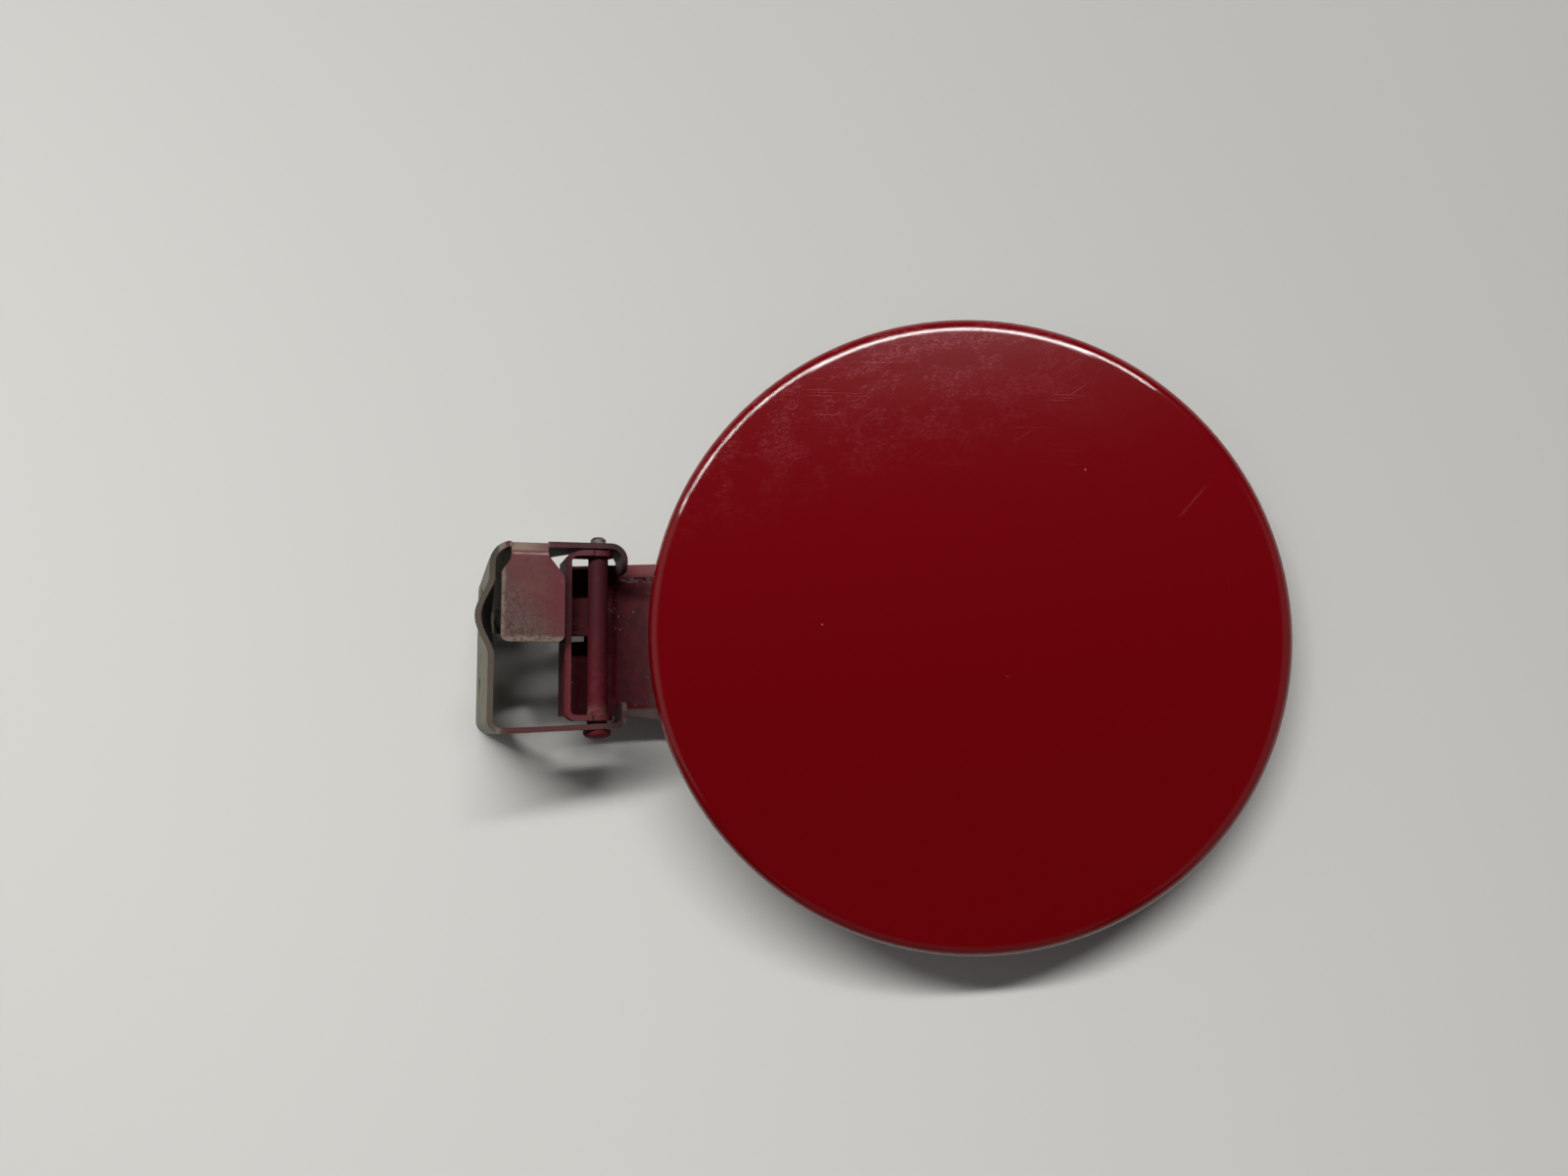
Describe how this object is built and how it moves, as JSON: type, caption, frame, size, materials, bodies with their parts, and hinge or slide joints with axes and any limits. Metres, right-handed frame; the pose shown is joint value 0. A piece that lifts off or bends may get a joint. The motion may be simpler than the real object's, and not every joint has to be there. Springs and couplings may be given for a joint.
{
  "type": "car fuel door with hinge",
  "caption": "Round domed car fuel door, hemmed over an inner panel, on a folded steel arm that turns in a strap bracket.",
  "frame": {"origin": "middle of the two bolt holes, on the face of the bracket's web that sits against the car", "axes": "+Z the way the door faces, +Y along the hinge pin towards the tongue's side, +X from the hinge to the door"},
  "size_m": [0.2243, 0.165, 0.0474],
  "materials": {
    "gloss_red": "glossy crimson body paint with haze, scratches and specks",
    "dull_red": "dull thin red overspray over steel",
    "primer": "matt grey-beige primer with red overspray",
    "pin_paint": "dull red, worn to grey at the ends",
    "rubber": "matt black"
  },
  "bodies": {
    "bracket": {"hinge_bracket": "primer", "hinge_pin": "pin_paint", "rubber_buffer": "rubber"},
    "door": {"outer_panel": "gloss_red", "inner_panel": "dull_red", "hinge_arm": "dull_red", "latch_catch": "dull_red"}
  },
  "joints": [
    {"name": "door_hinge", "type": "hinge", "parent": "bracket", "child": "door", "pos_m": [0.03782, 0, 0.01436], "axis": [0, -1, 0], "range_deg": [0, 90]}
  ]
}
